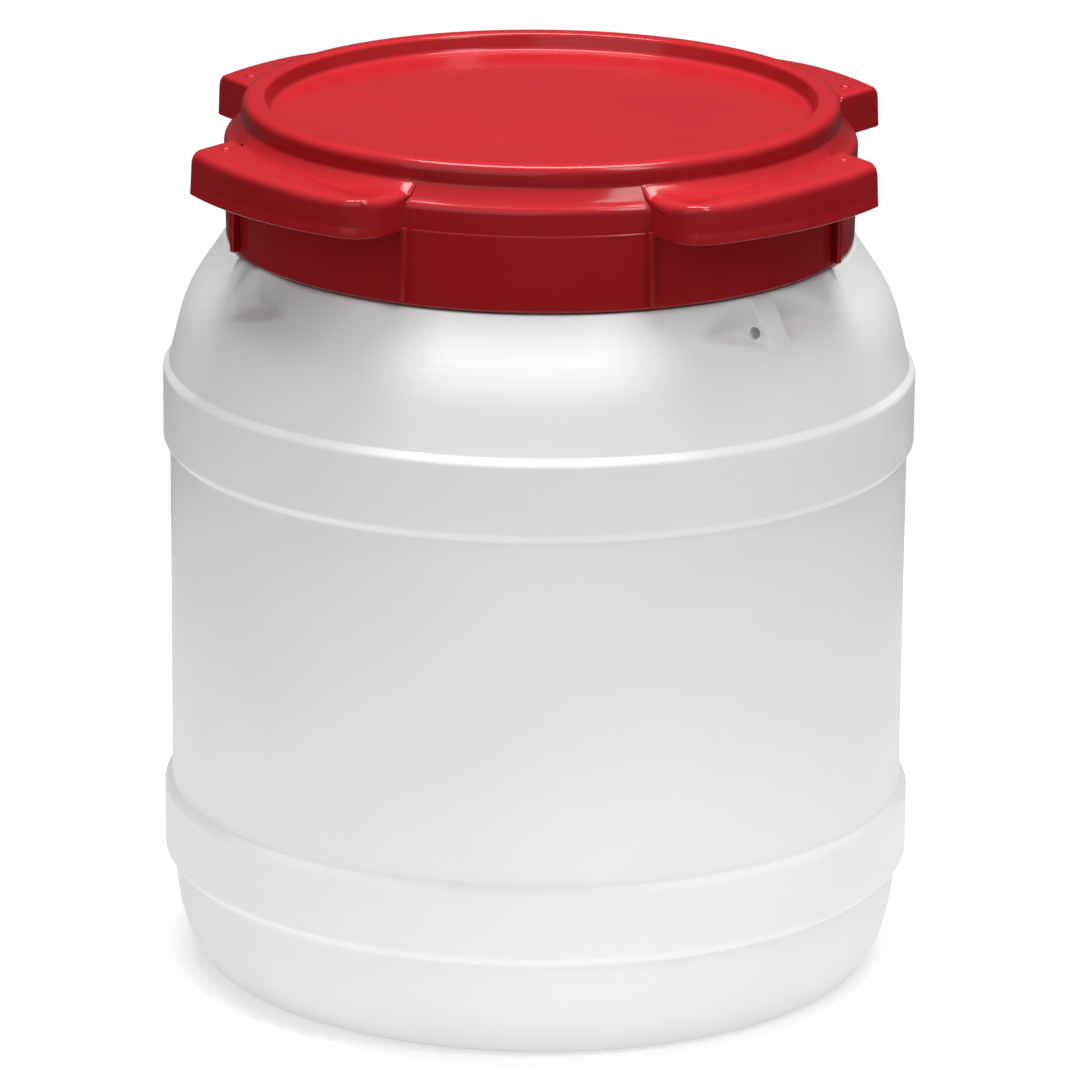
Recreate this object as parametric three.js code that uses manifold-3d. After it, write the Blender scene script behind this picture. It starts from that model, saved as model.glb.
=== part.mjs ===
// A 15-litre-class wide-neck drum with a four-wing screw lid: three separate pieces.
// Millimetres, +Z up. The origin is the centre of the base, on the surface it stands on.
// The lid's wings mirror across the XZ and YZ planes.
import * as THREE from "three";
import { mergeVertices } from "three/addons/utils/BufferGeometryUtils.js";
import Module from "manifold-3d";

const wasm = await Module();
wasm.setup();
const DEGREE = Math.PI / 180;

// ---- Driving dimensions of the drum body ----
const BAND_RADIUS = 143.5; // the two rolling bands are the widest part of the body
const WALL = 2.2; // blow-moulded wall
const BASE_RADIUS = 124.8; // outer edge of the flat ring that the drum stands on
const BASE_RING_WIDTH = 10.2;
const BASE_RISE = 7; // the base is pushed up inside the ring
const FOOT_HEIGHT = 42; // the quarter ellipse between base and lower band would end at this height
const WALL_RADIUS_LOW = 140;
const WALL_RADIUS_HIGH = 141;
const BAND_EDGE = 2.4; // height of a band's sloped edge
// Each band's height range and radius, and the radius of the wall that it meets below and above.
const LOWER_BAND = { bottom: 39.5, top: 69.3, radius: 143.67, below: WALL_RADIUS_LOW, above: 140.7 };
const UPPER_BAND = { bottom: 205, top: 234.4, radius: BAND_RADIUS, below: WALL_RADIUS_HIGH, above: 141.6 };
const NECK_RADIUS = 112.4;
const NECK_WALL = 2.6;
const NECK_START = 286.7;
const NECK_TOP = 324;
const LIP_OUTER = 110.7;
const LIP_INNER = 107.6;
const LIP_TOP = 332.3;

// ---- Driving dimensions of the lid ----
const LID_HEIGHT = 338.4; // top of the raised ring, the highest part of the object
const LID_WALL = 2.4;
const SKIRT_BOTTOM = 284.5;
const SKIRT_BOTTOM_RADIUS = 119.3;
const SKIRT_RADIUS = 119.9;
const PARTING_HEIGHT = 313.4; // the wings' lower edges
const PANEL_TOP = 331.4;
const RING_OUTER = 113.4;
const WING_RADIUS = BAND_RADIUS;
const WING_TOP = 329.6;
const WING_SINK = 2; // how far a wing's top has sunk at its round end
const WING_SINK_START = 60; // the top starts to sink at this distance from the round end
const WING_SLANT = 54 * DEGREE; // both ends of a wing are planes in this direction
const WING_FLAT_END = 66.5; // distance of a wing's flat end from the lid's axis
const WING_ROUND_END = -29.3;
const FLAT_END_ROUNDING = 2.5;
const ROUND_END_ROUNDING = 9;
const WING_EDGE = 4; // rounding between a wing's top and its outer wall
// A gusset under each end of a wing, measured across and along the wing's end plane. Its side towards
// the gap between the wings is flush with the wing's end, and leans back by the draft at its foot.
const FIN_BOTTOM = 286.7;
const FIN_DRAFT = 1;
const FLAT_END_FIN = { gapSide: WING_FLAT_END, thickness: 2.8, from: 98.5, to: 104.8 };
const ROUND_END_FIN = { gapSide: WING_ROUND_END - 1.7, thickness: -2.6, from: 114.8, to: 118.9 };
const PIP = { radius: 2, height: 0.8, distance: 129, angle: 26.6 * DEGREE };

// ---- The screw thread that lid and neck share ----
const STARTS = 2;
const LEAD = 24; // the lid rises this far in one turn
const NECK_THREAD = { inner: NECK_RADIUS - 0.8, crest: 115.4, from: 296, to: 316 };
const LID_THREAD = { inner: 117.4, crest: 113.5, from: 295, to: 316 };
const THREAD_ROOT = 4.6; // height of a thread rib where it leaves the wall
const THREAD_CREST = 2.2;
const THREAD_STEP = 15 * DEGREE;

// ---- The sealing eyelets in the drum's shoulder ----
// Each has the middle of its web in degrees, and the sides of the web that are hollowed out.
const PIERCED_EYELET = 315.5;
const EYELETS = [
  { middle: 206, sides: [1] },
  { middle: PIERCED_EYELET, sides: [-1, 1] },
];
// Each hollow has an upright back and a floor. Away from the web the back spreads out and the floor rises,
// until both meet the shoulder at the hollow's length.
const EYELET = { web: 10, length: 30, back: 119.2, spread: 6.5, floor: 270.5, rise: 4.5, floorSlope: 5 };
const EYELET_HOLE = { radius: 2.4, fromAxis: 122.6, height: 271.6, length: 11.4 };

// ---- How finely round shapes are divided ----
const COARSE_STEPS = 40;
const CURVE_DIVISIONS = 3;

const smooth = (t) => t * t * (3 - 2 * t);
const clamp = (value) => Math.min(1, Math.max(0, value));

// How far a rounded edge has drawn back at a distance from the face it leads to.
function drawBack(distance, radius) {
  if (distance >= radius) return 0;
  return radius - Math.sqrt(radius ** 2 - (radius - distance) ** 2);
}

// ---- Geometry helpers ----
// A solid from closed outlines in order around the axis. A column is a list of [radius, height, angle].
function solidOfColumns(columns) {
  const positions = [];
  const indices = [];
  const size = columns[0].length;
  columns.forEach((column, c) => {
    column.forEach(([radius, height, angle], i) => {
      positions.push(radius * Math.cos(angle), radius * Math.sin(angle), height);
      const next = ((c + 1) % columns.length) * size;
      const [a, b] = [c * size + i, c * size + ((i + 1) % size)];
      const [d, e] = [next + i, next + ((i + 1) % size)];
      indices.push(a, d, e, a, e, b);
    });
  });
  return toManifold(geometryOf(positions, indices));
}

function geometryOf(positions, indices) {
  const geometry = new THREE.BufferGeometry();
  geometry.setAttribute("position", new THREE.Float32BufferAttribute(positions, 3));
  geometry.setIndex(indices);
  return geometry;
}

// Merges equal corners, drops the triangles that this collapses, and makes a solid for the booleans.
function toManifold(geometry) {
  geometry.deleteAttribute("normal");
  geometry.deleteAttribute("uv");
  const merged = mergeVertices(geometry, 1e-3);
  const corners = merged.index.array;
  const kept = [];
  for (let i = 0; i < corners.length; i += 3) {
    const [a, b, c] = corners.slice(i, i + 3);
    if (a !== b && b !== c && c !== a) kept.push(a, b, c);
  }
  const vertProperties = new Float32Array(merged.attributes.position.array);
  return new wasm.Manifold(new wasm.Mesh({ numProp: 3, vertProperties, triVerts: new Uint32Array(kept) }));
}

function toGeometry(solid) {
  const mesh = solid.getMesh();
  const geometry = geometryOf(mesh.vertProperties, Array.from(mesh.triVerts));
  geometry.computeVertexNormals();
  return geometry;
}

// A rib of trapezium section that climbs around the axis: the thread of the neck or of the lid.
function threadRib({ inner, crest, from, to }, startAngle, phase) {
  const turns = (to - from) / LEAD;
  const steps = Math.round((turns * 2 * Math.PI) / THREAD_STEP);
  const outward = Math.sign(crest - inner);
  const positions = [];
  const indices = [];
  for (let i = 0; i <= steps; i++) {
    const share = i / steps;
    const angle = startAngle + share * turns * 2 * Math.PI;
    const height = from + phase + share * (to - from);
    const taper = smooth(clamp(Math.min(i, steps - i) / 2)); // the rib runs out at both ends
    const tip = inner + outward * 1 + (crest - inner - outward * 1) * taper;
    const section = [
      [inner, -THREAD_ROOT / 2],
      [tip, -THREAD_CREST / 2],
      [tip, THREAD_CREST / 2],
      [inner, THREAD_ROOT / 2],
    ];
    if (outward < 0) section.reverse();
    for (const [radius, z] of section) {
      positions.push(radius * Math.cos(angle), radius * Math.sin(angle), height + z);
    }
  }
  for (let i = 0; i < steps; i++) {
    for (let k = 0; k < 4; k++) {
      const [a, b] = [i * 4 + k, i * 4 + ((k + 1) % 4)];
      indices.push(a, a + 4, b + 4, a, b + 4, b);
    }
  }
  const last = steps * 4;
  indices.push(0, 1, 2, 0, 2, 3, last, last + 2, last + 1, last, last + 3, last + 2);
  return toManifold(geometryOf(positions, indices));
}

// ---- Drum body ----
// The outline from the centre of the base up the outside to the lip, with round stretches as curves.
function bodyOutside() {
  const path = new THREE.Path();
  path.moveTo(0, BASE_RISE);
  path.lineTo(BASE_RADIUS - BASE_RING_WIDTH - 16, BASE_RISE);
  path.quadraticCurveTo(BASE_RADIUS - BASE_RING_WIDTH - 4, BASE_RISE, BASE_RADIUS - BASE_RING_WIDTH, 0);
  path.lineTo(BASE_RADIUS, 0);
  const footWidth = WALL_RADIUS_LOW - BASE_RADIUS;
  path.absellipse(BASE_RADIUS, FOOT_HEIGHT, footWidth, FOOT_HEIGHT, -Math.PI / 2, -0.09);
  band(path, LOWER_BAND);
  band(path, UPPER_BAND);
  path.bezierCurveTo(139.2, 249, 136.4, 258.6, 131.5, 266.5);
  path.lineTo(129.5, 269.4);
  path.lineTo(127.6, 272.2);
  path.lineTo(125.7, 275);
  path.bezierCurveTo(122.4, 279.8, 121.4, 283, 119.6, 283.2);
  path.lineTo(NECK_RADIUS + 3, NECK_START - 3);
  path.quadraticCurveTo(NECK_RADIUS, NECK_START - 3, NECK_RADIUS, NECK_START);
  path.lineTo(NECK_RADIUS, NECK_TOP);
  path.lineTo(LIP_OUTER, NECK_TOP + 2);
  path.lineTo(LIP_OUTER, LIP_TOP - 1);
  path.lineTo(LIP_OUTER - 0.8, LIP_TOP);
  return path;
}

// A rolling band: a flat hoop that stands proud of the wall, with sloped edges.
function band(path, { bottom, top, radius, below, above }) {
  path.lineTo(below, bottom - BAND_EDGE / 2);
  path.lineTo(radius, bottom + BAND_EDGE / 2);
  path.lineTo(radius, top - BAND_EDGE / 2);
  path.lineTo(above, top + BAND_EDGE / 2);
}

// The inside, from the lip down to the centre of the base. Blow moulding follows the outside.
function bodyInside() {
  const path = new THREE.Path();
  path.moveTo(LIP_INNER + 0.8, LIP_TOP);
  path.lineTo(LIP_INNER, LIP_TOP - 1);
  path.lineTo(LIP_INNER, NECK_TOP);
  path.lineTo(NECK_RADIUS - NECK_WALL, NECK_TOP - 5);
  path.lineTo(NECK_RADIUS - NECK_WALL, NECK_START);
  path.quadraticCurveTo(NECK_RADIUS - NECK_WALL, 281.2, 114, 281);
  path.bezierCurveTo(118.5, 280.6, 120.2, 277.8, 122.1, 275);
  path.lineTo(124.7, 271);
  path.lineTo(127.7, 266.6);
  path.bezierCurveTo(133, 258.6, 136.4, 249, WALL_RADIUS_HIGH - WALL, UPPER_BAND.top);
  path.lineTo(WALL_RADIUS_HIGH - WALL, UPPER_BAND.bottom);
  path.lineTo(WALL_RADIUS_LOW - WALL, LOWER_BAND.top);
  path.lineTo(WALL_RADIUS_LOW - WALL, LOWER_BAND.bottom);
  path.bezierCurveTo(WALL_RADIUS_LOW - WALL, 20, 133, WALL, BASE_RADIUS - 3, WALL);
  path.lineTo(BASE_RADIUS - BASE_RING_WIDTH + 1, WALL);
  path.lineTo(BASE_RADIUS - BASE_RING_WIDTH - 16, BASE_RISE + WALL);
  path.lineTo(0, BASE_RISE + WALL);
  return path;
}

// The radius of the shoulder's outside or inside where the eyelets' hollows are cut into it. A web is left
// standing on the outside, and on the inside the hollow runs straight across behind the web.
function hollowed(radius, height, angle, side) {
  const wall = side === "inside" ? WALL : 0;
  let result = radius;
  for (const { middle, sides } of EYELETS) {
    const turned = Math.atan2(Math.sin(angle - middle * DEGREE), Math.cos(angle - middle * DEGREE));
    if (!sides.includes(Math.sign(turned))) continue;
    const pastWeb = Math.abs(turned) * SKIRT_RADIUS - EYELET.web / 2;
    const onWeb = pastWeb < -1e-6;
    if (pastWeb > EYELET.length || (onWeb && side === "outside")) continue;
    const share = Math.max(0, pastWeb) / EYELET.length;
    const back = EYELET.back - wall + EYELET.spread * share ** 1.5;
    const floor = EYELET.floor - wall + EYELET.rise * share;
    result = Math.min(result, back + EYELET.floorSlope * Math.max(0, floor - height));
  }
  return result;
}

// Columns all round, and extra ones beside each web. The first pair of those is just inside the web.
function bodyAngles() {
  const angles = [];
  for (let i = 0; i < COARSE_STEPS; i++) angles.push((i * 360) / COARSE_STEPS);
  const halfWeb = EYELET.web / 2 / SKIRT_RADIUS / DEGREE;
  for (const { middle } of EYELETS) {
    for (const offset of [-0.4, 0, 4, 9]) {
      angles.push(middle - halfWeb - offset, middle + halfWeb + offset);
    }
  }
  const sorted = angles.sort((a, b) => a - b);
  return sorted.filter((angle, i) => i === 0 || angle - sorted[i - 1] > 0.2);
}

function eyeletHole(middle) {
  const { radius, fromAxis, height, length } = EYELET_HOLE;
  const hole = new THREE.CylinderGeometry(radius, radius, length, 8);
  hole.translate(fromAxis, 0, height);
  hole.rotateZ(middle * DEGREE);
  return toManifold(hole);
}

function makeBody() {
  const outside = bodyOutside().getPoints(CURVE_DIVISIONS);
  const inside = bodyInside().getPoints(CURVE_DIVISIONS);
  const columns = bodyAngles().map((degrees) => {
    const angle = degrees * DEGREE;
    const drawn = (points, side) => points.map(({ x, y }) => [hollowed(x, y, angle, side), y, angle]);
    return [...drawn(outside, "outside"), ...drawn(inside, "inside")];
  });
  let body = solidOfColumns(columns);
  for (let start = 0; start < STARTS; start++) {
    body = body.add(threadRib(NECK_THREAD, (start / STARTS) * 2 * Math.PI, 0));
  }
  body = body.subtract(eyeletHole(PIERCED_EYELET));
  return toGeometry(body);
}

// ---- Screw lid ----
// The underside and the skirt's inner and outer faces, from the axis outwards.
const LID_UNDERSIDE = [
  [0, PANEL_TOP - LID_WALL - 0.3],
  [103.7, PANEL_TOP - LID_WALL],
  [107.4, LID_HEIGHT - LID_WALL],
  [RING_OUTER - 2.2, LID_HEIGHT - LID_WALL],
  [RING_OUTER - 2.2, 328.2],
  [SKIRT_RADIUS - 3, 320.6],
  [SKIRT_RADIUS - 3.1, SKIRT_BOTTOM],
  [SKIRT_BOTTOM_RADIUS, SKIRT_BOTTOM],
  [SKIRT_RADIUS, PARTING_HEIGHT],
];

// The raised ring and the panel, from the ring's foot inwards to the axis.
const LID_TOP = [
  [RING_OUTER, 330],
  [RING_OUTER, 334.8],
  [112.3, 337.2],
  [109.6, LID_HEIGHT],
  [106, LID_HEIGHT],
  [104.8, 337.6],
  [103.4, 333.2],
  [101.6, PANEL_TOP],
  [0, PANEL_TOP - 0.3],
];

// Between the wings the skirt ends in a rounded edge and a sloped ledge up to the ring.
const PLAIN_EDGE = [
  [SKIRT_RADIUS, PARTING_HEIGHT],
  [SKIRT_RADIUS + 0.1, 319],
  [119.6, 321],
  [118.8, 322.7],
  [117.9, 323.9],
  [116.5, 325.8],
];

// A wing's outer faces at one of its columns, from its lower edge over the top to the valley by the ring.
function wingOutside(fromFlatEnd, fromRoundEnd) {
  const sunk = smooth(clamp(1 - fromRoundEnd / WING_SINK_START));
  const side = drawBack(fromFlatEnd, FLAT_END_ROUNDING) + drawBack(fromRoundEnd, ROUND_END_ROUNDING);
  const down = drawBack(fromFlatEnd, FLAT_END_ROUNDING) + drawBack(fromRoundEnd, WING_EDGE);
  const radius = WING_RADIUS - side;
  const top = WING_TOP - WING_SINK * sunk - down;
  const crest = Math.min(121.5 + 16 * sunk, radius - WING_EDGE - 1.5);
  return [
    [radius, PARTING_HEIGHT],
    [radius - 0.4, top - WING_EDGE],
    [radius - 0.4 - WING_EDGE * 0.29, top - WING_EDGE * 0.29],
    [radius - 0.4 - WING_EDGE, top],
    [crest, top],
    [118.2, 324.6 + 3 * sunk - down * 0.5],
  ];
}

// The hollow below the wing. Where there is none, its corners all lie on the skirt.
function wingPocket(open, fromRoundEnd) {
  const foot = [SKIRT_RADIUS, PARTING_HEIGHT];
  if (!open) return [foot, foot, foot, foot];
  const sunk = smooth(clamp(1 - fromRoundEnd / WING_SINK_START));
  const ceiling = WING_TOP - LID_WALL - WING_SINK * sunk;
  const outer = WING_RADIUS - LID_WALL - drawBack(fromRoundEnd - LID_WALL, ROUND_END_ROUNDING - LID_WALL);
  return [
    [SKIRT_RADIUS + 0.1, ceiling - 8],
    [SKIRT_RADIUS + 4.9, ceiling],
    [outer - 0.4, ceiling],
    [outer, PARTING_HEIGHT],
  ];
}

// The angle of a column that lies in a plane in the slant's direction, at a distance from the axis.
function slantedAngle(distance, radius) {
  return Math.acos(distance / Math.max(radius, RING_OUTER)) - (Math.PI / 2 - WING_SLANT);
}

// One quarter of the lid, from the X axis round to the Y axis. Each entry gives a column's outline
// and the rule for the angle of a point at a radius.
function quarterColumns() {
  const columns = [];
  const add = (edge, pocket, angleAt) => columns.push({ points: [...pocket, ...edge], angleAt });
  const none = wingPocket(false, 0);
  for (const share of [0, 0.35, 0.7]) {
    add(PLAIN_EDGE, none, (radius) => share * slantedAngle(WING_FLAT_END, radius));
  }
  add(PLAIN_EDGE, none, (radius) => slantedAngle(WING_FLAT_END, radius));
  const length = WING_FLAT_END - WING_ROUND_END;
  const flatSteps = [0, 0.7, FLAT_END_ROUNDING];
  const middleSteps = [18, 34, 50, 66, 80];
  const roundSteps = [length - ROUND_END_ROUNDING, length - 5.5, length - LID_WALL, length - 0.8, length];
  for (const along of [...flatSteps, ...middleSteps, ...roundSteps]) {
    const angleAt = (radius) => slantedAngle(WING_FLAT_END - along, radius);
    const outside = wingOutside(along, length - along);
    const pocketHere = along >= FLAT_END_ROUNDING && length - along >= LID_WALL;
    if (along === FLAT_END_ROUNDING) add(outside, none, angleAt);
    add(outside, wingPocket(pocketHere, length - along), angleAt);
    if (along === length - LID_WALL) add(outside, none, angleAt);
  }
  add(PLAIN_EDGE, none, (radius) => slantedAngle(WING_ROUND_END, radius));
  for (const share of [0.6, 0.25]) {
    add(PLAIN_EDGE, none, (radius) => {
      return Math.PI / 2 - share * (Math.PI / 2 - slantedAngle(WING_ROUND_END, radius));
    });
  }
  return columns;
}

function lidColumns() {
  const quarter = quarterColumns();
  const onYAxis = { points: [...wingPocket(false, 0), ...PLAIN_EDGE], angleAt: () => Math.PI / 2 };
  const half = [...quarter, onYAxis];
  const mirrored = quarter.slice(1).reverse();
  mirrored.forEach(({ points, angleAt }) => {
    half.push({ points, angleAt: (radius) => Math.PI - angleAt(radius) });
  });
  const all = [...half];
  half.forEach(({ points, angleAt }) => all.push({ points, angleAt: (radius) => Math.PI + angleAt(radius) }));
  return all.map(({ points, angleAt }) => {
    return [...LID_UNDERSIDE, ...points, ...LID_TOP].map(([radius, z]) => [radius, z, angleAt(radius)]);
  });
}

// A gusset that carries a wing's end wall down the skirt. It is made in the first quarter.
function wingFin({ gapSide, thickness, from, to }) {
  const shape = new THREE.Shape();
  const inside = gapSide - thickness;
  shape.moveTo(-inside, FIN_BOTTOM);
  shape.lineTo(-(gapSide - Math.sign(thickness) * FIN_DRAFT), FIN_BOTTOM);
  shape.lineTo(-gapSide, PARTING_HEIGHT + 1);
  shape.lineTo(-inside, PARTING_HEIGHT + 1);
  const fin = new THREE.ExtrudeGeometry(shape, { depth: to - from, bevelEnabled: false });
  fin.translate(0, 0, from);
  const along = new THREE.Vector3(Math.cos(WING_SLANT), Math.sin(WING_SLANT), 0);
  const across = new THREE.Vector3(-Math.sin(WING_SLANT), Math.cos(WING_SLANT), 0);
  fin.applyMatrix4(new THREE.Matrix4().makeBasis(across, new THREE.Vector3(0, 0, 1), along));
  return fin;
}

function wingPip() {
  const pip = new THREE.CylinderGeometry(PIP.radius * 0.6, PIP.radius, PIP.height + 1, 8);
  pip.rotateX(Math.PI / 2);
  const [x, y] = [PIP.distance * Math.cos(PIP.angle), PIP.distance * Math.sin(PIP.angle)];
  pip.translate(x, y, WING_TOP + (PIP.height - 1) / 2);
  return pip;
}

function makeLid() {
  let lid = solidOfColumns(lidColumns());
  for (let start = 0; start < STARTS; start++) {
    const turns = start / STARTS + (LID_THREAD.from - NECK_THREAD.from) / LEAD;
    lid = lid.add(threadRib(LID_THREAD, turns * 2 * Math.PI, -LEAD / STARTS / 2));
  }
  const details = () => [wingFin(FLAT_END_FIN), wingFin(ROUND_END_FIN), wingPip()];
  for (const [mirrorX, mirrorY] of [[1, 1], [-1, 1], [-1, -1], [1, -1]]) {
    for (const detail of details()) {
      detail.scale(mirrorX, mirrorY, 1);
      if (mirrorX * mirrorY < 0) flip(detail);
      lid = lid.add(toManifold(detail));
    }
  }
  return toGeometry(lid);
}

// Turns every triangle round, after a mirroring.
function flip(geometry) {
  if (!geometry.index) geometry.setIndex([...Array(geometry.attributes.position.count).keys()]);
  const corners = geometry.index.array;
  for (let i = 0; i < corners.length; i += 3) {
    [corners[i + 1], corners[i + 2]] = [corners[i + 2], corners[i + 1]];
  }
}

// ---- Gasket: a foam ring seated in the groove under the lid's raised ring ----
const GASKET = { inner: 108.1, outer: 110.6, bottom: LIP_TOP + 0.3, top: LID_HEIGHT - LID_WALL - 0.3 };

function makeGasket() {
  const { inner, outer, bottom, top } = GASKET;
  const profile = [
    [inner, bottom],
    [outer, bottom],
    [outer, top],
    [inner, top],
    [inner, bottom],
  ].map(([radius, z]) => new THREE.Vector2(radius, z));
  const geometry = new THREE.LatheGeometry(profile, COARSE_STEPS);
  geometry.rotateX(Math.PI / 2);
  return toGeometry(toManifold(geometry));
}

// ---- Assembly ----
const whitePlastic = new THREE.MeshStandardMaterial({ color: 0xf1f1ef, roughness: 0.42, metalness: 0 });
const redPlastic = new THREE.MeshStandardMaterial({ color: 0xc8202a, roughness: 0.28, metalness: 0 });
const greyFoam = new THREE.MeshStandardMaterial({ color: 0xd9d7cf, roughness: 0.9, metalness: 0 });

const drum = new THREE.Group();
const pieces = [
  ["drum_body", makeBody(), whitePlastic],
  ["lid_gasket", makeGasket(), greyFoam],
  ["screw_lid", makeLid(), redPlastic],
];
for (const [name, geometry, material] of pieces) {
  const mesh = new THREE.Mesh(geometry, material);
  mesh.name = name;
  drum.add(mesh);
}

export default drum;
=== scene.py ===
"""The looks of the screw-lid drum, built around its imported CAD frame.

Lengths in this script are millimetres in the drum's own frame, and meshes are made in metres.
"""

import math

import bmesh
import bpy
import numpy as np
from mathutils import Matrix, Vector


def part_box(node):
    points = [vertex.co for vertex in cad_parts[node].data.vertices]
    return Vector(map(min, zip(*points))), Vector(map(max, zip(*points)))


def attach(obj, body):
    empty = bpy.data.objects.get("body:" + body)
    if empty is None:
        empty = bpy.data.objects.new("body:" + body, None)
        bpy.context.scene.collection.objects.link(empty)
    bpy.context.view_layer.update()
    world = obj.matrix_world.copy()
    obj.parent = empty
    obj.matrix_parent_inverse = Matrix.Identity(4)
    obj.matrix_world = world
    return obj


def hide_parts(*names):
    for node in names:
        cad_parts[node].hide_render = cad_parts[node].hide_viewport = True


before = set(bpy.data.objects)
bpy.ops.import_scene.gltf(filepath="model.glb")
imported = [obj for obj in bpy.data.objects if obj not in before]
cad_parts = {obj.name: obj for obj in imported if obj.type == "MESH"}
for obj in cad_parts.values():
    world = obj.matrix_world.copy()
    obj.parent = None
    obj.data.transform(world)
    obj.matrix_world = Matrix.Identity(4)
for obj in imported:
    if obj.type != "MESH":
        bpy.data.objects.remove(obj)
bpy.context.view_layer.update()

MM = 0.001
PI = math.pi


def box_of(node):
    """A CAD node's lowest and highest corner, in millimetres."""
    low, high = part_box(node)
    return np.array(low) / MM, np.array(high) / MM


body_low, body_high = box_of("drum_body")
lid_low, lid_high = box_of("screw_lid")
gasket_low, gasket_high = box_of("lid_gasket")

# ---------------------------------------------------------------- sizes
# Body, from the frame's widest radius and the height of its lip
LOWER_BAND_RADIUS = body_high[0]
BAND_RADIUS = LOWER_BAND_RADIUS - 0.17
LIP_TOP = body_high[2]
WALL = 2.2
WALL_LOW = BAND_RADIUS - 3.2
WALL_HIGH = BAND_RADIUS - 2.6
BASE_RADIUS = 124.8
FOOT_RADIUS = 139.8
FOOT_HEIGHT = 42.0
NECK_RADIUS = 112.4
NECK_TOP = LIP_TOP - 8.3
LIP_OUTER = 110.7
LIP_INNER = 107.6

# Lid
LID_HEIGHT = lid_high[2]
SKIRT_BOTTOM = lid_low[2]
SKIRT_RADIUS = 119.9
SKIRT_BOTTOM_RADIUS = 119.3
PARTING = 313.4
RING_OUTER = 113.4
WING_TOP = 329.6
WING_RADIUS = BAND_RADIUS
SLANT = math.radians(54)
FLAT_END = 66.5
ROUND_END = -29.3
WING_LENGTH = FLAT_END - ROUND_END

# Screw thread
LEAD = 24.0
STARTS = 2


# ---------------------------------------------------------------- outlines
def rounded(corners, steps=6):
    """An outline through corners [r, z, fillet radius], with every corner turned into an arc.

    corners is an array of shape (columns, corners, 3). The result has shape (columns, points, 2):
    a corner always gives the same number of points, so neighbouring columns join up.
    """
    c = np.asarray(corners, float)
    if c.ndim == 2:
        c = c[None]
    points = c[:, :, :2]
    before = np.roll(points, 1, axis=1)
    after = np.roll(points, -1, axis=1)
    before[:, 0] = points[:, 0]
    after[:, -1] = points[:, -1]
    to_before = before - points
    to_after = after - points
    len_before = np.linalg.norm(to_before, axis=2)
    len_after = np.linalg.norm(to_after, axis=2)
    unit_before = to_before / np.maximum(len_before, 1e-9)[..., None]
    unit_after = to_after / np.maximum(len_after, 1e-9)[..., None]
    cosine = np.clip(-(unit_before * unit_after).sum(2), -1, 1)
    turn = np.arccos(cosine)
    reach = c[:, :, 2] * np.tan(np.minimum(turn, 3.0) / 2)
    reach = np.minimum(reach, 0.49 * np.minimum(len_before, len_after))
    a = points + unit_before * reach[..., None]
    b = points + unit_after * reach[..., None]
    weight = np.cos(turn / 2)[..., None]
    out = []
    for k in range(points.shape[1]):
        if not c[:, k, 2].any():
            out.append(points[:, k])
            continue
        for t in np.linspace(0, 1, steps + 1):
            top = (1 - t) ** 2 * a[:, k] + 2 * t * (1 - t) * weight[:, k] * points[:, k] + t**2 * b[:, k]
            out.append(top / ((1 - t) ** 2 + 2 * t * (1 - t) * weight[:, k] + t**2))
    return np.stack(out, axis=1)


def refined(outline, longest):
    """An outline with its straight stretches cut into pieces no longer than a length, or a tenth of it
    in the shoulder, where the eyelets are."""
    out = [outline[0]]
    for a, b in zip(outline[:-1], outline[1:]):
        in_shoulder = min(a[1], b[1]) < 284 and max(a[1], b[1]) > 262
        pieces = max(1, math.ceil(np.linalg.norm(b - a) / (longest / 10 if in_shoulder else longest)))
        out += [a + (b - a) * (i + 1) / pieces for i in range(pieces)]
    return np.array(out)


def smooth(t):
    t = np.clip(t, 0, 1)
    return t * t * (3 - 2 * t)


# ---------------------------------------------------------------- meshes
def mesh_object(name, vertices, faces, merge=1e-6):
    """An object from vertices in millimetres, with doubled corners merged and collapsed faces gone."""
    mesh = bpy.data.meshes.new(name)
    mesh.from_pydata((np.asarray(vertices) * MM).tolist(), [], np.asarray(faces).tolist())
    bm = bmesh.new()
    bm.from_mesh(mesh)
    bmesh.ops.remove_doubles(bm, verts=bm.verts, dist=merge)
    bmesh.ops.dissolve_degenerate(bm, edges=bm.edges, dist=merge / 2)
    bmesh.ops.recalc_face_normals(bm, faces=bm.faces)
    bm.to_mesh(mesh)
    bm.free()
    obj = bpy.data.objects.new(name, mesh)
    bpy.context.scene.collection.objects.link(obj)
    return obj


def columns_mesh(radius, height, angle):
    """Vertices and quads of closed outlines in order around the axis. All three arrays are (columns, points)."""
    columns, size = radius.shape
    vertices = np.stack([radius * np.cos(angle), radius * np.sin(angle), height], axis=2).reshape(-1, 3)
    index = np.arange(columns * size).reshape(columns, size)
    across = np.roll(index, -1, axis=0)
    faces = np.stack([index, across, np.roll(across, -1, axis=1), np.roll(index, -1, axis=1)], axis=2)
    return vertices, faces.reshape(-1, 4)


def finish_shading(obj, degrees=32):
    """Smooth faces, with creases sharper than an angle kept sharp."""
    mesh = obj.data
    mesh.polygons.foreach_set("use_smooth", [True] * len(mesh.polygons))
    mesh.set_sharp_from_angle(angle=math.radians(degrees))


def join_solid(obj, tool, operation="UNION"):
    """Joins or cuts a solid with another, and removes the other."""
    modifier = obj.modifiers.new("solid", "BOOLEAN")
    modifier.operation = operation
    modifier.solver = "EXACT"
    modifier.object = tool
    bpy.context.view_layer.update()
    evaluated = obj.evaluated_get(bpy.context.evaluated_depsgraph_get())
    mesh = bpy.data.meshes.new_from_object(evaluated)
    obj.modifiers.clear()
    obj.data = mesh
    bpy.data.objects.remove(tool)


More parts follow.
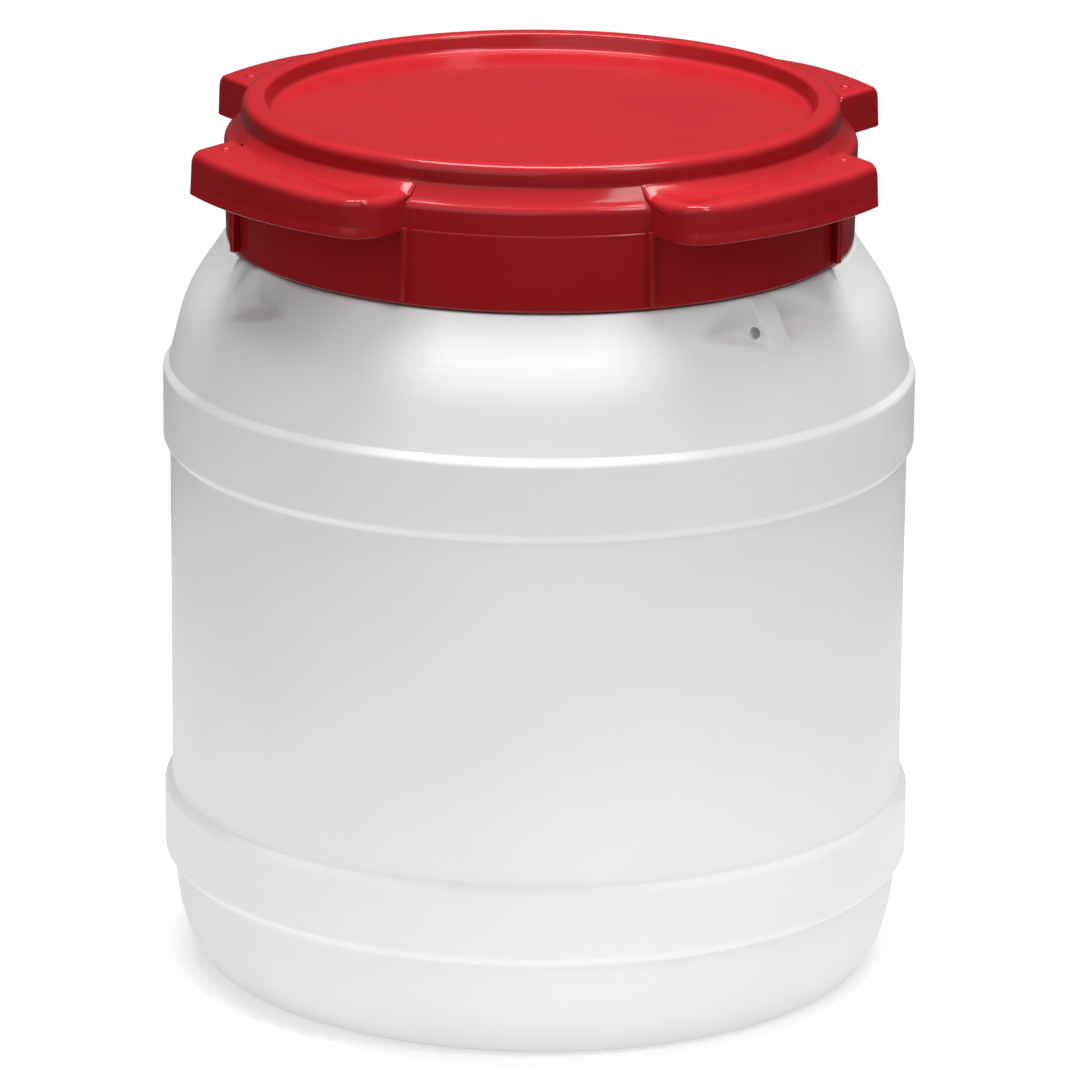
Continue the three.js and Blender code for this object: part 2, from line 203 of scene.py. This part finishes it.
def thread_rib(inner, crest, start, stop, first_angle, phase, root=4.6, tip=2.2, step=3.0):
    """A rib with rounded crest that climbs around the axis, as one closed piece."""
    turns = (stop - start) / LEAD
    steps = round(turns * 360 / step)
    share = np.linspace(0, 1, steps + 1)
    outward = math.copysign(1, crest - inner)
    runout = smooth(np.minimum(share, 1 - share) * turns * 360 / 25)
    reach = inner + outward + (crest - inner - outward) * runout
    section = np.array([[0, -root / 2], [0.6, -tip / 2 - 0.45], [0.93, -tip / 2], [1, -tip / 2 + 0.5]])
    section = np.concatenate([section, section[::-1] * [1, -1]])
    radius = inner + (reach - inner)[:, None] * section[None, :, 0]
    height = (start + phase + share * (stop - start))[:, None] + section[None, :, 1]
    angle = np.broadcast_to((first_angle + share * turns * 2 * PI)[:, None], radius.shape)
    vertices = np.stack([radius * np.cos(angle), radius * np.sin(angle), height], axis=2).reshape(-1, 3)
    size = len(section)
    faces = []
    for i in range(steps):
        for k in range(size):
            a, b = i * size + k, i * size + (k + 1) % size
            faces.append([a, a + size, b + size, b])
    rib = mesh_object("rib", vertices, faces)
    bm = bmesh.new()
    bm.from_mesh(rib.data)
    bmesh.ops.holes_fill(bm, edges=[e for e in bm.edges if e.is_boundary], sides=0)
    bmesh.ops.recalc_face_normals(bm, faces=bm.faces)
    bm.to_mesh(rib.data)
    bm.free()
    return rib


# ---------------------------------------------------------------- drum body
PIERCED_EYELET = 315.5
NO_HOLLOW = (400.0, 1.0)
# Each eyelet's web: its middle, how far away its foot is and how wide its slope is on the one side and on
# the other, and how soft its edges are. One of them is hollowed out on one side only.
EYELETS = [
    (206.0, NO_HOLLOW, (11.0, 11.0), 8.0),
    (PIERCED_EYELET, (7.0, 4.0), (5.0, 1.0), 1.6),
]
EYELET_LENGTH = 30.0
EYELET_BACK = 119.2
EYELET_FLOOR = 269.8
HOLE_RADIUS = 2.4
HOLE_LENGTH = 13.6
HOLE_PLACE = (122.6, -1.2, 270.9)

BODY_OUTSIDE = [
    [0, 7, 0],
    [98, 7, 14],
    [BASE_RADIUS - 10.2, 0, 4],
    [BASE_RADIUS, 0, 0],
    # the foot's quarter ellipse is put in here
    [FOOT_RADIUS, 39.0, 1.6],
    [LOWER_BAND_RADIUS, 42.2, 3.2],
    [LOWER_BAND_RADIUS, 68.0, 2.6],
    [WALL_LOW + 0.5, 70.4, 1.6],
    [WALL_HIGH, 203.6, 1.6],
    [BAND_RADIUS, 206.4, 2.6],
    [BAND_RADIUS, 233.2, 2.6],
    [WALL_HIGH + 0.3, 235.8, 1.6],
    [134.9, 261.5, 55],
    [119.9, 283.7, 2.5],
    [NECK_RADIUS, 283.8, 2.6],
    [NECK_RADIUS, NECK_TOP, 0.6],
    [LIP_OUTER, NECK_TOP + 1.6, 0.8],
    [LIP_OUTER, LIP_TOP, 1.1],
]
BODY_INSIDE = [
    [LIP_INNER, LIP_TOP, 1.1],
    [LIP_INNER, NECK_TOP, 3],
    [NECK_RADIUS - 2.6, NECK_TOP - 5, 3],
    [NECK_RADIUS - 2.6, 281.0, 3.5],
    [118.6, 281.0, 6],
    [132.6, 260.6, 50],
    [WALL_HIGH - WALL + 0.1, 235.0, 2],
    [BAND_RADIUS - WALL, 232.4, 2],
    [BAND_RADIUS - WALL, 207.2, 2],
    [WALL_HIGH - WALL, 204.4, 2],
    [WALL_LOW - WALL, 69.4, 2],
    [LOWER_BAND_RADIUS - WALL, 67.2, 2],
    [LOWER_BAND_RADIUS - WALL, 43.0, 2],
    [FOOT_RADIUS - WALL, 39.5, 2],
    [FOOT_RADIUS - WALL - 1.5, 24.0, 20],
    [BASE_RADIUS - 1.5, 2.4, 12],
    [BASE_RADIUS - 9.5, 2.4, 3],
    [98, 9.4, 14],
    [0, 9.4, 0],
]


def foot_ellipse():
    """The round corner from the base ring up to the lower band."""
    share = np.linspace(0, 1, 14)[1:]
    turn = -PI / 2 + share * (PI / 2 - 0.12)
    return np.stack([
        BASE_RADIUS + (FOOT_RADIUS - BASE_RADIUS) * np.cos(turn),
        FOOT_HEIGHT + FOOT_HEIGHT * np.sin(turn),
    ], axis=1)


def body_outline():
    """The body's outline from the middle of the base, up the outside and down the inside."""
    base = rounded(BODY_OUTSIDE[:4])[0]
    outside = rounded(BODY_OUTSIDE[3:] + BODY_INSIDE)[0][1:]
    outline = np.concatenate([base, foot_ellipse(), outside])
    top = int(np.argmax(outline[:, 1] >= LIP_TOP - 1e-6))
    return refined(outline[: top + 2], 6), refined(outline[top + 2 :], 12)


def soft_min(a, b, blend):
    """The smaller of two arrays, with the change from one to the other rounded off."""
    share = np.clip(0.5 + 0.5 * (b - a) / blend, 0, 1)
    return b * (1 - share) + a * share - blend * share * (1 - share)


def hollowed(radius, height, angle, wall=0.0):
    """The shoulder's radius where the eyelets' hollows are cut in, beside a web that is left standing.

    With a wall thickness it is the inside, where the hollow runs straight across behind the web.
    """
    result = radius + 0 * angle
    for middle, before, after, softness in EYELETS:
        turned = angle - math.radians(middle)
        turned = np.arctan2(np.sin(turned), np.cos(turned))
        foot = np.where(turned < 0, before[0], after[0])
        slope = np.where(turned < 0, before[1], after[1])
        past_web = np.abs(turned) * SKIRT_RADIUS - foot
        share = np.clip(past_web, 0, None) / EYELET_LENGTH
        back = EYELET_BACK - wall + 6.5 * share**1.5
        below = EYELET_FLOOR - wall + 4.5 * share - height
        cut = back + 5 * (np.sqrt(below**2 + 0.8) + below) / 2
        cut = cut + 16 * (1 - smooth(1 + past_web / (30 if wall else slope)))
        dent = result - soft_min(result, cut, softness)
        result = result - dent * (1 - smooth((share - 0.45) / 0.55))
    return result


def body_angles():
    """Columns every 1.5 degrees, and much closer together around the eyelets."""
    angles = list(np.arange(0, 360, 1.5))
    beside = list(np.arange(0, 10, 0.35)) + list(np.arange(10, EYELET_LENGTH + 8, 0.9))
    for eyelet in EYELETS:
        for side in (-1, 1):
            angles += [eyelet[0] + side * math.degrees(past / SKIRT_RADIUS) for past in beside]
    angles = np.unique(np.round(np.mod(angles, 360), 4))
    keep = [angles[0]]
    for value in angles[1:]:
        if value - keep[-1] > 0.06:
            keep.append(value)
    return np.radians(keep)


def make_body():
    outside, inside = body_outline()
    angle = body_angles()[:, None]
    radius_out = hollowed(outside[None, :, 0], outside[None, :, 1], angle)
    radius_in = hollowed(inside[None, :, 0], inside[None, :, 1], angle, WALL)
    radius = np.concatenate([radius_out, radius_in], axis=1)
    height = np.broadcast_to(np.concatenate([outside, inside])[None, :, 1], radius.shape)
    vertices, faces = columns_mesh(radius, height, np.broadcast_to(angle, radius.shape))
    body = mesh_object("drum_shell", vertices, faces)
    for start in range(STARTS):
        rib = thread_rib(NECK_RADIUS - 0.8, 115.4, 296, 316, start / STARTS * 2 * PI, 0)
        join_solid(body, rib)
    join_solid(body, eyelet_hole(math.radians(PIERCED_EYELET)), "DIFFERENCE")
    finish_shading(body)
    return body


def eyelet_hole(angle):
    """A round cutter along the tangent, through the web."""
    bm = bmesh.new()
    radius = HOLE_RADIUS * MM
    length = HOLE_LENGTH * MM
    bmesh.ops.create_cone(bm, cap_ends=True, segments=32, radius1=radius, radius2=radius, depth=length)
    place = Matrix.Rotation(angle, 4, "Z") @ Matrix.Translation(Vector(HOLE_PLACE) * MM)
    bmesh.ops.transform(bm, matrix=place @ Matrix.Rotation(PI / 2, 4, "X"), verts=bm.verts)
    mesh = bpy.data.meshes.new("hole")
    bm.to_mesh(mesh)
    bm.free()
    cutter = bpy.data.objects.new("hole", mesh)
    bpy.context.scene.collection.objects.link(cutter)
    return cutter


# ---------------------------------------------------------------- lid
LID_UNDERSIDE = [
    [0, 328.7, 0],
    [103.7, 329.0, 2.5],
    [107.4, 336.0, 1.0],
    [111.2, 336.0, 1.0],
    [111.2, 328.2, 3],
    [116.9, 320.6, 3],
    [116.8, SKIRT_BOTTOM, 0.5],
    [SKIRT_BOTTOM_RADIUS, SKIRT_BOTTOM, 1.0],
]
LID_TOP = [
    [RING_OUTER, 330.2, 2.2],
    [RING_OUTER, LID_HEIGHT, 4.2],
    [104.5, LID_HEIGHT, 2.0],
    [102.9, 331.5, 2.4],
    [98.0, 331.4, 3.0],
    [0, 331.0, 0],
]
FLASH = 0.35
LID_WALL = 2.4
WING_SINK = 2.0
FLAT_ROUNDING = 2.2
ROUND_CORNER = 10.0
ROUND_TOP = 5.0
WING_FLARE = 1.0
FILLET = 1.6
FILLET_STEPS = [FILLET * share for share in (1, 0.7, 0.45, 0.25, 0.1, 0)]


def draw_back(distance, radius):
    """How far a rounded edge has drawn back at a distance from the face it leads to."""
    near = min(max(radius - distance, 0), radius)
    return radius - math.sqrt(radius**2 - near**2)



# A section's corners run from the skirt's outside, through the wing's pocket and outer faces, to the ledge.
# Between the wings the pocket's corners all lie on the skirt.
PLAIN_SECTION = np.array(
    [
        [SKIRT_RADIUS, PARTING - 0.5, 0],
        [SKIRT_RADIUS + FLASH, PARTING - 0.12, 0],
        [SKIRT_RADIUS + FLASH, PARTING + 0.12, 0],
        [SKIRT_RADIUS, PARTING + 0.5, 0],
    ]
    + [[SKIRT_RADIUS, PARTING + 0.6, 0]] * 4
    + [
        [SKIRT_RADIUS, PARTING + 0.7, 0],
        [SKIRT_RADIUS, PARTING + 1.2, 0],
        [SKIRT_RADIUS + 0.1, 322.8, 3.6],
        [117.2, 325.0, 0],
        [116.0, 326.6, 0],
    ]
)


def wing_section(from_flat, from_round, pocket):
    """The corners of the skirt and the wing at a distance from the wing's two ends."""
    sunk = float(smooth(1 - from_round / 62))
    side = draw_back(from_flat, FLAT_ROUNDING) + draw_back(from_round, ROUND_CORNER)
    down = draw_back(from_flat, FLAT_ROUNDING) + draw_back(from_round, ROUND_TOP)
    radius = WING_RADIUS - side
    top = WING_TOP - WING_SINK * sunk - down
    foot = [SKIRT_RADIUS, PARTING, 0]
    inner = [foot] * 4
    flare = WING_FLARE * min(1, from_flat / FLAT_ROUNDING)
    if pocket:
        ceiling = WING_TOP - LID_WALL - WING_SINK * sunk
        outer = WING_RADIUS - LID_WALL - draw_back(max(from_round - LID_WALL, 0), ROUND_CORNER - LID_WALL)
        inner = [
            [SKIRT_RADIUS + 0.1, ceiling - 8, 2],
            [SKIRT_RADIUS + 4.9, ceiling, 2],
            [outer - 0.8, ceiling, 2],
            [outer, PARTING, 0.5],
        ]
    return np.array(
        [foot] * 4
        + inner
        + [
            [radius, PARTING, 0.45],
            [radius - flare, PARTING + 4.2, 6],
            [radius - flare - 0.7, top, 4.2],
            [min(121.8 + 15 * sunk, radius - 7), top, 1.6],
            [118.3, 324.4 + 2.6 * sunk - 0.3 * down, 2.5],
        ]
    )


def slanted(distance, radius):
    """The angle at a radius of a plane in the slant's direction, at a distance from the lid's axis."""
    return np.arccos(distance / np.maximum(radius, RING_OUTER)) - (PI / 2 - SLANT)


def wing_columns():
    """One wing's columns, in the first quarter, as (corners, distance of the slanted plane)."""
    turn = np.radians([0, 12, 25, 38, 52, 68, 90])
    flat_steps = list(FLAT_ROUNDING * (1 - np.cos(turn)))
    round_steps = list(ROUND_CORNER * (1 - np.cos(np.radians([0, 7, 14, 22, 31, 40, 50, 60, 75, 90]))))
    middle = list(np.linspace(FLAT_ROUNDING, WING_LENGTH - ROUND_CORNER, 26)[1:-1])
    along_all = flat_steps + middle + [WING_LENGTH - step for step in round_steps[::-1]]
    pocket_start = FLAT_ROUNDING
    pocket_end = min(along_all, key=lambda along: abs(along - (WING_LENGTH - LID_WALL)))
    columns = []
    for step in FILLET_STEPS:
        columns.append((end_blend(wing_section(0, WING_LENGTH, False), step), FLAT_END + step))
    for along in along_all:
        ends = (along, WING_LENGTH - along)
        if along == pocket_start:
            columns.append((wing_section(*ends, False), FLAT_END - along))
        columns.append((wing_section(*ends, pocket_start <= along <= pocket_end), FLAT_END - along))
        if along == pocket_end:
            columns.append((wing_section(*ends, False), FLAT_END - along))
    for step in FILLET_STEPS[::-1]:
        columns.append((end_blend(wing_section(WING_LENGTH, 0, False), step), ROUND_END - step))
    return columns


def end_blend(end_corners, step):
    """The skirt's section just outside a wing's end, swelling into the end wall as a hollow fillet."""
    share = draw_back(step, FILLET) / (WING_RADIUS - SKIRT_RADIUS)
    flash = PLAIN_SECTION + (end_corners - PLAIN_SECTION) * share
    return flash


def lid_columns():
    """All columns round the lid, as (corners, angle rule)."""
    quarter = []
    outermost_flat = FLAT_END + FILLET
    outermost_round = ROUND_END - FILLET
    for share in np.linspace(0, 1, 10)[:-1]:
        quarter.append((PLAIN_SECTION, lambda r, s=share: s * slanted(outermost_flat, r)))
    for corners, distance in wing_columns():
        quarter.append((corners, lambda r, d=distance: slanted(d, r)))
    for share in np.linspace(1, 0, 10)[1:-1]:
        quarter.append((PLAIN_SECTION, lambda r, s=share: PI / 2 - s * (PI / 2 - slanted(outermost_round, r))))
    half = quarter + [(PLAIN_SECTION, lambda r: np.full_like(r, PI / 2))]
    half += [(corners, lambda r, f=rule: PI - f(r)) for corners, rule in quarter[:0:-1]]
    return half + [(corners, lambda r, f=rule: PI + f(r)) for corners, rule in half]


def make_lid():
    columns = lid_columns()
    under = np.array(LID_UNDERSIDE, float)
    top = np.array(LID_TOP, float)
    corners = np.stack([np.concatenate([under, section, top]) for section, _ in columns])
    points = rounded(corners, steps=5)
    radius, height = points[..., 0], points[..., 1]
    angle = np.stack([rule(radius[i]) for i, (_, rule) in enumerate(columns)])
    vertices, faces = columns_mesh(radius, height, angle)
    lid = mesh_object("lid_shell", vertices, faces, merge=2e-6)
    first = LEAD / STARTS / 2
    for start in range(STARTS):
        angle = start / STARTS * 2 * PI + (295 - 296) / LEAD * 2 * PI
        join_solid(lid, thread_rib(117.4, 113.5, 295, 316, angle, -first))
    for mirror_x, mirror_y in ((1, 1), (-1, 1), (-1, -1), (1, -1)):
        for detail in (fin(*FLAT_END_FIN), fin(*ROUND_END_FIN), pip()):
            detail.data.transform(Matrix.Diagonal((mirror_x, mirror_y, 1, 1)))
            if mirror_x * mirror_y < 0:
                detail.data.flip_normals()
            join_solid(lid, detail)
    finish_shading(lid)
    return lid


# Each gusset's side towards the gap, its side under the wing, and where it starts and ends along the plane
FLAT_END_FIN = (FLAT_END, FLAT_END - 2.8, 98.5, 104.8)
ROUND_END_FIN = (ROUND_END - 1.7, ROUND_END + 0.9, 114.8, 118.9)
FIN_BOTTOM = 286.7
FIN_DRAFT = 1.0


def fin(gap_side, wing_side, start, stop):
    """A gusset under a wing's end, in the first quarter, with softened outer edges."""
    foot_side = gap_side + math.copysign(FIN_DRAFT, wing_side - gap_side)
    outline = [(wing_side, FIN_BOTTOM), (foot_side, FIN_BOTTOM), (gap_side, PARTING + 1), (wing_side, PARTING + 1)]
    along = np.array([math.cos(SLANT), math.sin(SLANT), 0])
    across = np.array([math.sin(SLANT), -math.cos(SLANT), 0])
    vertices = [end * along + distance * across + [0, 0, z] for end in (start, stop) for distance, z in outline]
    faces = [[0, 1, 2, 3], [7, 6, 5, 4], [0, 4, 5, 1], [1, 5, 6, 2], [2, 6, 7, 3], [3, 7, 4, 0]]
    plate = mesh_object("fin", vertices, faces)
    bm = bmesh.new()
    bm.from_mesh(plate.data)
    outer = [e for e in bm.edges if all(v.co.xy.dot(along[:2]) > (start + stop) / 2 * MM for v in e.verts)]
    bmesh.ops.bevel(bm, geom=outer, offset=0.35 * MM, segments=3, profile=0.5, affect="EDGES")
    bmesh.ops.recalc_face_normals(bm, faces=bm.faces)
    bm.to_mesh(plate.data)
    bm.free()
    return plate


def pip():
    """The small dome that the mould leaves on a wing by its flat end."""
    bm = bmesh.new()
    bmesh.ops.create_uvsphere(bm, u_segments=24, v_segments=12, radius=2.1 * MM)
    angle = math.radians(27.2)
    squash = Matrix.Diagonal((1, 1, 0.5, 1))
    centre = Vector((129 * math.cos(angle), 129 * math.sin(angle), WING_TOP - 0.15))
    bmesh.ops.transform(bm, matrix=Matrix.Translation(centre * MM) @ squash, verts=bm.verts)
    mesh = bpy.data.meshes.new("pip")
    bm.to_mesh(mesh)
    bm.free()
    dome = bpy.data.objects.new("pip", mesh)
    bpy.context.scene.collection.objects.link(dome)
    return dome


# ---------------------------------------------------------------- gasket
def make_gasket():
    """A foam ring with rounded edges."""
    inner, outer = gasket_high[0] - 2.5, gasket_high[0]
    low, high = gasket_low[2], gasket_high[2]
    corners = [[inner, low, 0.5], [outer, low, 0.5], [outer, high, 0.5], [inner, high, 0.5]]
    start = [[(inner + outer) / 2, low, 0]]
    outline = rounded(start + corners)[0]
    angle = np.radians(np.arange(0, 360, 2.0))[:, None]
    radius = np.broadcast_to(outline[None, :, 0], (len(angle), len(outline)))
    height = np.broadcast_to(outline[None, :, 1], radius.shape)
    vertices, faces = columns_mesh(radius, height, np.broadcast_to(angle, radius.shape))
    gasket = mesh_object("gasket_ring", vertices, faces)
    finish_shading(gasket, 50)
    return gasket


# ---------------------------------------------------------------- materials
def node_material(name):
    material = bpy.data.materials.new(name)
    material.use_nodes = True
    tree = material.node_tree
    return material, tree, tree.nodes["Principled BSDF"]


def noise(tree, scale, detail=2.0, roughness=0.5):
    coordinates = tree.nodes.new("ShaderNodeTexCoord")
    texture = tree.nodes.new("ShaderNodeTexNoise")
    texture.inputs["Scale"].default_value = scale
    texture.inputs["Detail"].default_value = detail
    texture.inputs["Roughness"].default_value = roughness
    tree.links.new(coordinates.outputs["Object"], texture.inputs["Vector"])
    return texture.outputs["Fac"]


def ramp(tree, factor, low, high):
    """A colour or a number that goes from low to high with a noise's value."""
    node = tree.nodes.new("ShaderNodeValToRGB")
    node.color_ramp.elements[0].position = 0.35
    node.color_ramp.elements[1].position = 0.65
    node.color_ramp.elements[0].color = low
    node.color_ramp.elements[1].color = high
    tree.links.new(factor, node.inputs["Fac"])
    return node.outputs["Color"]


def bump(tree, height, distance, strength, onto=None):
    node = tree.nodes.new("ShaderNodeBump")
    node.inputs["Distance"].default_value = distance
    node.inputs["Strength"].default_value = strength
    tree.links.new(height, node.inputs["Height"])
    if onto is not None:
        tree.links.new(onto, node.inputs["Normal"])
    return node.outputs["Normal"]


def grey(value):
    return (value, value, value, 1)


def white_plastic():
    material, tree, shader = node_material("white_polyethylene")
    cloud = noise(tree, 9, 3)
    tree.links.new(ramp(tree, cloud, (0.78, 0.783, 0.785, 1), (0.81, 0.813, 0.816, 1)), shader.inputs["Base Color"])
    tree.links.new(ramp(tree, noise(tree, 60, 4), grey(0.43), grey(0.51)), shader.inputs["Roughness"])
    waves = bump(tree, noise(tree, 22, 1), 0.002, 0.08)
    grain = bump(tree, noise(tree, 1100, 3), 0.0002, 0.10, waves)
    tree.links.new(grain, shader.inputs["Normal"])
    shader.inputs["IOR"].default_value = 1.5
    shader.inputs["Specular IOR Level"].default_value = 0.35
    shader.inputs["Subsurface Weight"].default_value = 0.18
    shader.inputs["Subsurface Radius"].default_value = (1.0, 0.95, 0.9)
    shader.inputs["Subsurface Scale"].default_value = 0.004
    return material


def mixed(tree, factor, first, second):
    """A blend of two colour outputs by a number output."""
    node = tree.nodes.new("ShaderNodeMix")
    node.data_type = "RGBA"
    tree.links.new(factor, node.inputs[0])
    tree.links.new(first, node.inputs[6])
    tree.links.new(second, node.inputs[7])
    return node.outputs[2]


def painted_top_light_mask(tree):
    """1 on a surface that faces up, 0 on an upright one: the mask for painted top light."""
    geometry = tree.nodes.new("ShaderNodeNewGeometry")
    parts = tree.nodes.new("ShaderNodeSeparateXYZ")
    share = tree.nodes.new("ShaderNodeMapRange")
    share.interpolation_type = "SMOOTHSTEP"
    share.inputs["From Min"].default_value = 0.1
    share.inputs["From Max"].default_value = 0.9
    tree.links.new(geometry.outputs["Normal"], parts.inputs["Vector"])
    tree.links.new(parts.outputs["Z"], share.inputs["Value"])
    return share.outputs["Result"]


def red_plastic():
    """Glossy red, with painted light: lighter where the surface faces up, as if lit from above, than on upright
    faces.
    """
    material, tree, shader = node_material("red_polyethylene")
    cloud = noise(tree, 14, 3)
    # Painted light: upright faces get the darker red, faces that look up get a lighter red as if lit from above
    side_red = ramp(tree, cloud, (0.285, 0.0080, 0.0105, 1), (0.310, 0.0090, 0.0120, 1))
    painted_lit_top_red = ramp(tree, cloud, (0.430, 0.0150, 0.0210, 1), (0.460, 0.0165, 0.0230, 1))
    tree.links.new(mixed(tree, painted_top_light_mask(tree), side_red, painted_lit_top_red), shader.inputs["Base Color"])
    tree.links.new(ramp(tree, noise(tree, 90, 4), grey(0.11), grey(0.16)), shader.inputs["Roughness"])
    waves = bump(tree, noise(tree, 35, 1), 0.001, 0.05)
    grain = bump(tree, noise(tree, 1500, 3), 0.0001, 0.06, waves)
    tree.links.new(grain, shader.inputs["Normal"])
    shader.inputs["IOR"].default_value = 1.47
    shader.inputs["Specular IOR Level"].default_value = 0.28
    return material


def grey_foam():
    material, tree, shader = node_material("gasket_foam")
    cells = noise(tree, 2600, 4, 0.7)
    tree.links.new(ramp(tree, cells, (0.60, 0.59, 0.54, 1), (0.72, 0.71, 0.66, 1)), shader.inputs["Base Color"])
    tree.links.new(bump(tree, cells, 0.0003, 0.6), shader.inputs["Normal"])
    shader.inputs["Roughness"].default_value = 0.9
    return material


# ---------------------------------------------------------------- pieces on their bodies
def place(piece, body, node, slot, material):
    piece.data.materials.clear()
    piece.data.materials.append(material)
    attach(piece, body)
    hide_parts(node)


place(make_body(), "drum", "drum_body", "white_body", white_plastic())
place(make_lid(), "lid", "screw_lid", "red_lid", red_plastic())
place(make_gasket(), "gasket", "lid_gasket", "gasket_foam", grey_foam())


# ---------------------------------------------------------------- studio
FLOOR_RADIUS = 0.6


def floor():
    """A round pale table top that glows, more towards its rim: painted light that washes out its shade near the
    drum.
    """
    rim = [FLOOR_RADIUS * np.array([math.cos(a), math.sin(a), 0]) for a in np.linspace(0, 2 * PI, 97)[:-1]]
    mesh = bpy.data.meshes.new("studio_floor")
    mesh.from_pydata([tuple(corner) for corner in rim], [], [list(range(len(rim)))])
    plane = bpy.data.objects.new("studio_floor", mesh)
    bpy.context.scene.collection.objects.link(plane)
    material, tree, shader = node_material("floor_paper")
    tree.links.new(ramp(tree, noise(tree, 3), grey(0.69), grey(0.71)), shader.inputs["Base Color"])
    shader.inputs["Roughness"].default_value = 0.9
    shader.inputs["Specular IOR Level"].default_value = 0.1
    coordinates = tree.nodes.new("ShaderNodeTexCoord")
    distance = tree.nodes.new("ShaderNodeVectorMath")
    distance.operation = "LENGTH"
    # Painted light: the floor glows, brighter towards its rim, so the shade on it is washed out
    glow = tree.nodes.new("ShaderNodeMapRange")
    glow.inputs["From Min"].default_value = 0.1
    glow.inputs["From Max"].default_value = FLOOR_RADIUS
    glow.inputs["To Min"].default_value = 0.35
    glow.inputs["To Max"].default_value = 0.5
    tree.links.new(coordinates.outputs["Object"], distance.inputs[0])
    tree.links.new(distance.outputs["Value"], glow.inputs["Value"])
    shader.inputs["Emission Color"].default_value = grey(1)
    tree.links.new(glow.outputs["Result"], shader.inputs["Emission Strength"])
    mesh.materials.append(material)
    plane.location.z = -0.0004


def softbox(name, azimuth, elevation, distance, size, power, target=(0, 0, 0.2)):
    """A rectangular light that looks at the drum. Azimuth 0 is behind the camera, and grows to the right."""
    light = bpy.data.lights.new(name, "AREA")
    light.shape = "RECTANGLE"
    light.size, light.size_y = size
    light.energy = power
    lamp = bpy.data.objects.new(name, light)
    az, el = math.radians(azimuth), math.radians(elevation)
    direction = Vector((math.sin(az) * math.cos(el), -math.cos(az) * math.cos(el), math.sin(el)))
    lamp.location = Vector(target) + direction * distance
    lamp.rotation_euler = direction.to_track_quat("Z", "Y").to_euler()
    bpy.context.scene.collection.objects.link(lamp)


def studio_light():
    """A pale studio that is darker low down behind the drum, so the lid's flat top doesn't mirror white."""
    world = bpy.data.worlds.new("studio")
    bpy.context.scene.world = world
    world.use_nodes = True
    tree = world.node_tree
    background = tree.nodes["Background"]
    coordinates = tree.nodes.new("ShaderNodeTexCoord")
    lean = tree.nodes.new("ShaderNodeVectorMath")
    lean.operation = "DOT_PRODUCT"
    lean.inputs[1].default_value = (0.1, -0.45, 0.9)
    shade = tree.nodes.new("ShaderNodeValToRGB")
    shade.color_ramp.elements[0].position = 0.0
    shade.color_ramp.elements[0].color = (0.06, 0.0625, 0.065, 1)
    shade.color_ramp.elements[1].position = 0.85
    shade.color_ramp.elements[1].color = (0.46, 0.47, 0.48, 1)
    path = tree.nodes.new("ShaderNodeLightPath")
    seen = tree.nodes.new("ShaderNodeMix")
    seen.data_type = "RGBA"
    seen.inputs[7].default_value = grey(1)
    tree.links.new(coordinates.outputs["Generated"], lean.inputs[0])
    tree.links.new(lean.outputs["Value"], shade.inputs["Fac"])
    tree.links.new(path.outputs["Is Camera Ray"], seen.inputs[0])
    tree.links.new(shade.outputs["Color"], seen.inputs[6])
    tree.links.new(seen.outputs[2], background.inputs["Color"])
    softbox("overhead", 180, 88, 1.9, (1.6, 0.5), 44)
    softbox("front_right", 45, 51, 2.2, (0.4, 1.1), 13)
    softbox("front_fill", -24, 28, 2.6, (2.6, 2.0), 14)


# The camera stands a little round from the lid's own axis, because the lid was screwed on at that angle.
LID_TURN = math.radians(2.33)


def camera():
    data = bpy.data.cameras.new("camera")
    data.sensor_width = 36
    data.lens = 255.44
    obj = bpy.data.objects.new("camera", data)
    bpy.context.scene.collection.objects.link(obj)
    spin = Matrix.Rotation(LID_TURN, 3, "Z")
    stand = spin @ Vector((0, -2.82286, 1.00962))
    aim = spin @ Vector((0.00088, 0, 0.16258))
    roll = 0.0085
    forward = (aim - stand).normalized()
    right = forward.cross(Vector((0, 0, 1))).normalized()
    up = right.cross(forward)
    rolled_right = right * math.cos(roll) + up * math.sin(roll)
    rolled_up = up * math.cos(roll) - right * math.sin(roll)
    turn = Matrix((rolled_right, rolled_up, -forward)).transposed().to_4x4()
    obj.matrix_world = Matrix.Translation(stand) @ turn
    bpy.context.scene.camera = obj


floor()
studio_light()
camera()
bpy.context.scene.view_settings.view_transform = "Standard"
